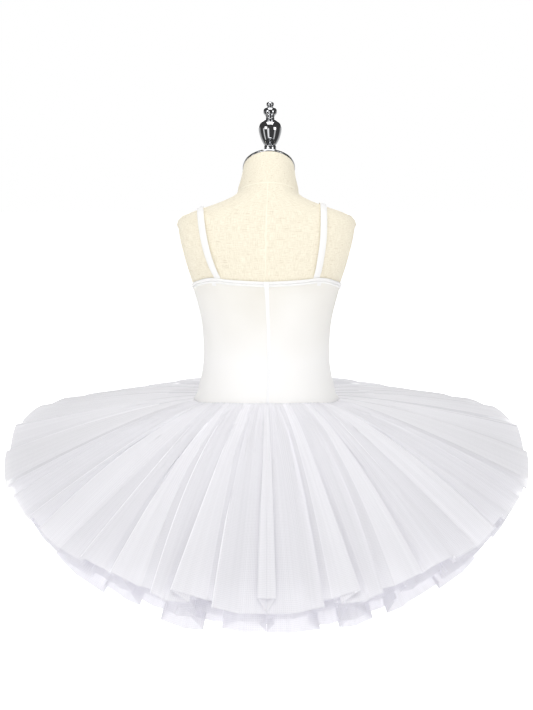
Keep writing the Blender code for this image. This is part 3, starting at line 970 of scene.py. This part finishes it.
# Turns of the folded edge and of the valley past it at the hem, and of the edge at the seam; how
# far the net turns back under the edge; the edge's rise; how far the fold sways on its way, and the
# part turned under swells; how much longer the top strip and the lower ones fall there; and its look
# in the top strip: doubled where a second thickness lies right under it, and so whiter, and crowded
# at the sides, where the strips lie close together and the net is also painted darker, a painted
# shade. The folded edges themselves take a net painted whiter, a painted highlight.
PLAIN, PRESSED_HIGHLIGHT, DOUBLED, CROWDED_SHADE = 0, 1, 2, 3
Fold = namedtuple("Fold", "edge valley seam lap rise sway belly longer lower look")
FOLDS = (
    Fold(1.4, 4.5, 4, 1.6, 0.0035, 0.0, 0.0, 0.003, -0.005, DOUBLED),
    Fold(9.0, 10.4, 12, 2.6, 0.0035, 0.5, 0.0, 0.018, 0.001, PLAIN),
    Fold(16.2, 17.4, 21, 3.4, 0.0044, -0.6, 0.0, 0.004, -0.008, DOUBLED),
    Fold(19.5, 22.0, 29, 1.6, 0.0030, 1.2, 0.0, 0.012, 0.003, PLAIN),
    Fold(28.0, 29.2, 37, 3.0, 0.0044, 0.4, 0.0, 0.004, -0.011, DOUBLED),
    Fold(35.6, 41.5, 47, 0.8, 0.0022, -0.9, 0.0, 0.000, -0.004, PLAIN),
    Fold(48.4, 49.6, 59, 0.7, 0.0048, 1.4, 0.0, 0.003, 0.003, DOUBLED),
    Fold(54.0, 57.0, 66, 0.7, 0.0026, -0.8, 0.0, -0.003, -0.006, PLAIN),
    Fold(63.5, 64.8, 74, 0.8, 0.0036, 0.9, 0.0, 0.002, 0.001, PLAIN),
    Fold(69.5, 74.0, 82, 0.7, 0.0034, -0.5, 0.0, 0.000, -0.005, PLAIN),
    Fold(87.0, 88.4, 92, 0.8, 0.0040, 0.8, 0.0, 0.005, 0.000, CROWDED_SHADE),
    Fold(97.0, 99.0, 102, 0.8, 0.0030, -0.8, 0.0, 0.003, 0.006, CROWDED_SHADE),
    Fold(109.0, 112.0, 111, 1.2, 0.0016, 0.7, 0.0, 0.000, 0.006, CROWDED_SHADE),
    Fold(118.5, 123.0, 119, 3.6, 0.0030, -0.6, 0.0, 0.001, -0.004, CROWDED_SHADE),
    Fold(127.0, 131.5, 127, 3.0, 0.0025, 0.9, 1.5, 0.000, 0.003, CROWDED_SHADE),
    Fold(136.5, 141.0, 137, 3.6, 0.0032, -0.7, 0.0, 0.002, -0.005, DOUBLED),
    Fold(145.5, 150.0, 146, 3.2, 0.0025, 0.5, 0.0, 0.000, 0.001, PLAIN),
    Fold(154.5, 159.0, 155, 3.4, 0.0035, 0.8, 1.0, 0.002, -0.003, DOUBLED),
    Fold(163.5, 168.0, 164, 3.2, 0.0028, -0.7, 0.0, 0.000, 0.003, PLAIN),
    Fold(172.5, 177.0, 173, 3.6, 0.0035, 0.4, 0.0, 0.003, -0.004, DOUBLED),
)


def tulle_net(name, alpha, shade):
    """White net with a lilac cast; alpha is its share of thread.

    It's whiter near the seam, partly for its denser gathers and partly as painted light, and a little
    darker further down.
    """
    made, shader, add, link = new_material(name, (0.88, 0.88, 0.91), 0.6)
    where = add("UVMap")
    holes = add("TexVoronoi", feature="DISTANCE_TO_EDGE", Scale=620.0, Randomness=0.25)
    link(where.outputs["UV"], holes.inputs["Vector"])
    thread = tuple(shade * part for part in (0.955, 0.95, 0.98))
    hole = tuple(shade * part for part in (0.845, 0.84, 0.875))
    tone = colour_ramp(add, link, holes.outputs["Distance"], (0.04, thread), (0.30, hole))
    split = add("SeparateXYZ")
    link(where.outputs["UV"], split.inputs["Vector"])
    # Painted light in part: the net is painted up to 7% whiter at the seam, fading to a little darker
    # below.
    gathers_and_painted_light = map_range(add, link, split.outputs["Y"], 0.02, 0.27, 1.07, 0.965)
    # Painted light and shade: faint lengthwise streaks, lighter and darker, for the fine creases in
    # the net.
    lengthwise = add("Mapping", Scale=(210, 3, 1))
    crease_light_noise = add("TexNoise", Scale=1.0, Detail=2.0, Roughness=0.5)
    link(where.outputs["UV"], lengthwise.inputs["Vector"])
    link(lengthwise.outputs["Vector"], crease_light_noise.inputs["Vector"])
    crease_light_and_shade = map_range(add, link, crease_light_noise.outputs["Fac"], 0.40, 0.68, 0.985, 1.03)
    lightness = math_node(add, link, "MULTIPLY", gathers_and_painted_light, crease_light_and_shade)
    whiter = add("VectorMath", operation="SCALE")
    link(tone.outputs["Color"], whiter.inputs["Vector"])
    link(lightness, whiter.inputs["Scale"])
    link(whiter.outputs["Vector"], shader.inputs["Base Color"])
    shader.inputs["Alpha"].default_value = alpha
    shader.inputs["Sheen Weight"].default_value = 0.2
    shader.inputs["Specular IOR Level"].default_value = 0.25
    return made


net = tulle_net("tulle", 0.74, 0.975)
# The lower strips' net is painted lighter, painted light against the shade under the top strip.
lifted_lower_net = tulle_net("lower tulle, painted light", 0.80, 1.02)
# The pressed edges' net is painted whiter, a painted highlight along the folds.
edge_highlight_net = tulle_net("tulle, painted edge highlight", 0.97, 1.03)
doubled_net = tulle_net("tulle, doubled", 0.83, 0.99)
# The crowded sides' net is more opaque and painted darker, painted shade at the side tips.
side_shade_net = tulle_net("tulle at the sides, painted shade", 0.94, 0.895)
Column = namedtuple("Column", "turn seam wave sway longer across rise look")


def fold_columns(layer, side, chance):
    """One half of a strip from the centre back: the columns of its folds, side 1 left, -1 right.

    A wave of 1 is an edge's top and -1 a valley. Past its edge the net turns back under the fold,
    and then runs on below it into the valley.
    """
    lengths = [
        fold.longer if layer == 1 else fold.lower + chance.uniform(-LOWER_UNEVEN, LOWER_UNEVEN)
        for fold in FOLDS
    ]
    lengths.append(lengths[-1])
    columns = [Column(0.0, 0.0, 0.8, 0.0, lengths[0], 0.0, FOLDS[0].rise, PLAIN)]
    for number, fold in enumerate(FOLDS):
        loose = SHOWN_LOOSE if layer == 1 and number < SHOWN_FOLDS else HIDDEN_LOOSE
        shift = chance.uniform(-loose, loose) if number else 0.0
        panel = fold.look if layer == 1 else PLAIN
        # The folded edge's columns take the pressed net, painted whiter as a highlight.
        crisp = PRESSED_HIGHLIGHT if number else PLAIN
        lap = fold.lap * chance.uniform(*LAP_LOOSE) if layer > 1 else fold.lap
        rise = fold.rise * chance.uniform(*RISE_LOOSE)
        sway = fold.sway * chance.uniform(*SWAY_LOOSE)
        here, after = lengths[number : number + 2]
        before = columns[-1]
        edge, valley = fold.edge + shift, fold.valley + shift
        back = edge - min(lap, LAP_SHARE * (edge - before.turn) + LAP_SPARE)
        fall = min(2 * (edge - back) / max(edge - before.turn, 1), MOST_FALL)
        seam, back_seam = fold.seam - SEAM_LEAD, fold.seam - BACK_SEAM_LEAD
        swell = sway - fold.belly
        reached = (before.turn, before.seam, before.wave, before.sway, here)
        for steps, across, look, end in (
            (PANEL_STEPS, 0.0, panel, (edge, seam, 1.0, sway, here)),
            (1, 1.0, crisp, (edge, seam + 0.2, 0.95, sway, here)),
            (1, 0.2, crisp, (edge, seam + 0.4, 0.82, sway, here)),
            (4, 0.0, PLAIN, (back, back_seam, 0.86 - fall, swell, after)),
            (1, 0.0, crisp, (back, back_seam + 0.2, 0.74 - fall, swell, after)),
            (6, 0.0, PLAIN, (valley, fold.seam, -1.0, sway, after)),
        ):
            started = columns[-1].across
            for step in range(1, steps + 1):
                part = step / steps
                values = [a + (b - a) * part for a, b in zip(reached, end)]
                if steps == PANEL_STEPS:
                    values[2] += PANEL_SWELL * math.sin(math.pi * part)
                offset = started + (EDGE_WIDTH * across - started) * part
                columns.append(Column(*values, offset, rise, look))
            reached = end
    columns.append(Column(180.0, 180.0, 0.0, 0.0, lengths[-1], 0.0, FOLDS[-1].rise, PLAIN))
    return [
        column._replace(turn=side * column.turn, seam=side * column.seam, across=side * column.across)
        for column in columns
    ]


def ring_value(values, index):
    """The value at this index of a ring, part of the way between two of its columns."""
    low = math.floor(index)
    part = index - low
    return values[low % len(values)] * (1 - part) + values[(low + 1) % len(values)] * part


def tulle_layer(layer):
    """One strip, placed over its solid, with its fine gathers dying out below the seam."""
    chance = random.Random(FIRST_SEED + layer)
    left = fold_columns(layer, 1, chance)
    right = fold_columns(layer, -1, chance)
    columns = left + [
        column._replace(turn=column.turn + 360, seam=column.seam + 360)
        for column in reversed(right[:-1])
    ]
    last = len(columns) - 1
    share = (layer - 1) / (TULLE_LAYERS - 1)
    spread = share**HEM_SPREAD
    drop = TULLE_TOP_DROP + TULLE_ROW_STEP * (layer - 1)
    out = BODY_CLEARANCE + KNIT_WALL + HIP_FLARE + STRIP_GAP
    fold_share = 1 - share * (1 - LOWER_FOLD_SHARE)
    edge_share = 1 if layer == 1 else LOWER_EDGE_SHARE

    def hem_point(turn, longer):
        hem = row_at(HEMS, half_turn(turn))
        angle, droop = math.radians(turn), math.radians(HEM_DROOP)
        radius = hem.top_radius + spread * (hem.low_radius - hem.top_radius)
        radius += longer * math.cos(droop)
        height = hem.top_height + spread * (hem.low_height - hem.top_height)
        height += HIP_SEAM_HEIGHT - longer * math.sin(droop)
        return Vector((radius * math.sin(angle), radius * math.cos(angle), height))

    def seam_point(turn):
        return body_point(turn, row_at(HIP_SEAM, half_turn(turn)).height - drop, out)

    seams = [seam_point(column.seam) for column in columns]
    hems = [hem_point(column.turn, column.longer + EDGE_LONGER * column.wave) for column in columns]
    ring_seams, ring_hems = seams[:-1], hems[:-1]
    ring_waves = [column.wave for column in columns[:-1]]

    phases, reaches = [], []
    phase = 0.0
    for number in range(last):
        if number % GATHER_GROUP == 0:
            step = math.tau / GATHER_COLUMNS * chance.uniform(*GATHER_LOOSE)
            reach_here = GATHER_REACH * chance.choice(GATHER_REACHES)
        phase += step
        phases.append(phase)
        reaches.append(reach_here)
    phases.append(phases[0])
    reaches.append(reaches[0])

    def place(number, row):
        column, phase = columns[number], phases[number]
        reach = (row / TULLE_ROWS) ** ROW_SPACING
        fade = math.exp(-((reach / reaches[number]) ** 2))
        lap = GATHER_LAP * GATHER_COLUMNS / math.tau
        index = number + lap * fade * math.sin(phase)
        seam, hem = ring_value(ring_seams, index), ring_value(ring_hems, index)
        point = seam.lerp(hem, reach)
        point.z = seam.z + (hem.z - seam.z) * reach**DROOP_CURVE
        angle = math.radians(column.turn)
        swing = math.radians(column.sway) * math.sin(math.pi * reach) * SWAY_SHARE
        side = swing * math.copysign(1, 180 - column.turn)
        side += column.across * min(reach * EDGE_WIDENS, 1) * edge_share
        point += side * Vector((math.cos(angle), -math.sin(angle), 0))
        point.z += ring_value(ring_waves, index) * column.rise * fold_share * reach
        point.z += GATHER_RISE * math.cos(phase) * fade
        if row == 0:
            point.z += TULLE_SCALLOP * math.sin(phase)
        return point

    # The cut's length follows the hem along every fold, and its depth is the mean from seam to hem.
    turned = sum(abs(b.turn - a.turn) for a, b in zip(columns, columns[1:]))
    depth = sum((a - b).length for a, b in zip(seams, hems)) / len(hems)
    length = math.radians(turned) * hems[0].xy.length
    cut = (round(length, 2), round(depth + CURVE_LONGER, 3))
    main_net = net if layer == 1 else lifted_lower_net
    name = f"tulle_strip_{layer}"
    strip = lay_cloth(name, last, TULLE_ROWS, place, cut, main_net, turned_over=False)
    for finish in (edge_highlight_net, doubled_net, side_shade_net):
        strip.data.materials.append(finish)
    # Each face takes its column's look, but the pressed edges' painted highlight starts only some rows
    # below the seam.
    for face in strip.data.polygons:
        look = columns[face.index % last + 1].look
        if look != PRESSED_HIGHLIGHT or face.index // last >= HIGHLIGHT_FROM_ROW:
            face.material_index = look
    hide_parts(f"tulle_layer_{layer}")


for layer in range(1, TULLE_LAYERS + 1):
    tulle_layer(layer)


# ---- The studio ----------------------------------------------------------------------------------
# A white floor in a white room, lit by four softboxes, and the camera behind the wearer, looking
# down a little. The chrome mirrors screens of its own.

CAMERA_DISTANCE = 1.300
CAMERA_OVER_HIP_SEAM = 0.3686
CAMERA_PITCH = 13
CAMERA_LENS = 45.62
FLOOR_SIZE = 8
FLOOR_GLOW = 0.62
ROOM_LIGHT = 0.80
FRONT_SCREEN = (0.75, 0.75, 0.75)
FLAG_LIGHT = 0.05

scene = bpy.context.scene
camera = bpy.data.objects.new("camera", bpy.data.cameras.new("camera"))
camera.data.lens = CAMERA_LENS
camera.location = (0, CAMERA_DISTANCE, HIP_SEAM_HEIGHT + CAMERA_OVER_HIP_SEAM)
camera.rotation_euler = (math.radians(90 - CAMERA_PITCH), 0, math.radians(180))
scene.collection.objects.link(camera)
scene.camera = camera

shape = bmesh.new()
bmesh.ops.create_grid(shape, x_segments=1, y_segments=1, size=FLOOR_SIZE)
mesh = bpy.data.meshes.new("floor")
shape.to_mesh(mesh)
shape.free()
floor = bpy.data.objects.new("floor", mesh)
scene.collection.objects.link(floor)
white, shader, _, _ = new_material("white floor", (0.93, 0.93, 0.93), 0.8)
shader.inputs["Emission Color"].default_value = (1, 1, 1, 1)
shader.inputs["Emission Strength"].default_value = FLOOR_GLOW
mesh.materials.append(white)
floor.visible_glossy = False

Softbox = namedtuple("Softbox", "place aim size power")
SOFTBOXES = (
    Softbox((1.7, 1.7, 1.2), (0, 0, 0.35), 1.0, 8.3),
    Softbox((-1.7, 1.5, 0.9), (0, 0, 0.35), 1.0, 5.3),
    Softbox((0.0, 0.5, 2.6), (0, 0, 0.35), 1.8, 21),
    Softbox((0.0, -1.8, 1.3), (0, 0, 0.30), 1.2, 6.5),
)
for number, box in enumerate(SOFTBOXES):
    light = bpy.data.lights.new(f"softbox_{number}", "AREA")
    light.size = box.size
    light.energy = box.power
    lamp = bpy.data.objects.new(light.name, light)
    lamp.location = box.place
    way = Vector(box.aim) - Vector(box.place)
    lamp.rotation_euler = way.to_track_quat("-Z", "Y").to_euler()
    scene.collection.objects.link(lamp)

# What the chrome mirrors: white screens between black flags. Place goes round once, from 0 in front
# of the wearer over the left hand at 0.25 and the back at 0.5.
Screen = namedtuple("Screen", "place light")
SCREENS = (
    Screen(0.10, 0.55),
    Screen(0.17, 0.30),
    Screen(0.20, 0.01),
    Screen(0.29, 0.01),
    Screen(0.30, 0.80),
    Screen(0.325, 0.80),
    Screen(0.335, 0.01),
    Screen(0.415, 0.01),
    Screen(0.425, 1.00),
    Screen(0.465, 1.00),
    Screen(0.475, 0.01),
    Screen(0.62, 0.01),
    Screen(0.63, 0.60),
    Screen(0.66, 0.60),
    Screen(0.67, 0.01),
    Screen(0.80, 0.01),
    Screen(0.83, 0.30),
    Screen(0.90, 0.55),
)


def studio_world():
    """White to the camera, a room with darker sides to the cloth, and screens to the chrome."""
    world = bpy.data.worlds.new("studio")
    world.use_nodes = True
    nodes = world.node_tree.nodes
    add, link = node_tools(world.node_tree)
    seen = nodes["Background"]
    seen.inputs["Color"].default_value = (1, 1, 1, 1)
    way = add("TexCoord")
    split = add("SeparateXYZ")
    link(way.outputs["Generated"], split.inputs["Vector"])

    aside = math_node(add, link, "ABSOLUTE", split.outputs["X"])
    walls = colour_ramp(add, link, aside, (0.25, (1, 1, 1)), (0.95, (0.20, 0.20, 0.205)))
    room = add("Background", Strength=ROOM_LIGHT)
    link(walls.outputs["Color"], room.inputs["Color"])

    around = math_node(add, link, "ARCTAN2", split.outputs["X"], split.outputs["Y"])
    bearing = map_range(add, link, around, math.pi, -math.pi)
    screens = colour_ramp(add, link, bearing, (0.0, FRONT_SCREEN), (1.0, FRONT_SCREEN))
    for place, light in SCREENS:
        screens.color_ramp.elements.new(place).color = (light, light, light, 1)
    low = map_range(add, link, split.outputs["Z"], 0.25, 0.05)
    lit = math_node(add, link, "MULTIPLY", screens.outputs["Color"], low)
    not_black = math_node(add, link, "MAXIMUM", lit, FLAG_LIGHT)
    mirrored = add("Background")
    link(not_black, mirrored.inputs["Color"])

    ray = add("LightPath")
    unseen = add("MixShader")
    link(ray.outputs["Is Glossy Ray"], unseen.inputs["Fac"])
    link(room.outputs["Background"], unseen.inputs[1])
    link(mirrored.outputs["Background"], unseen.inputs[2])
    whole = add("MixShader")
    link(ray.outputs["Is Camera Ray"], whole.inputs["Fac"])
    link(unseen.outputs["Shader"], whole.inputs[1])
    link(seen.outputs["Background"], whole.inputs[2])
    link(whole.outputs["Shader"], nodes["World Output"].inputs["Surface"])
    return world


scene.world = studio_world()
scene.view_settings.view_transform = "Standard"
scene.cycles.transparent_max_bounces = 96
scene.cycles.max_bounces = 16
scene.cycles.diffuse_bounces = 12
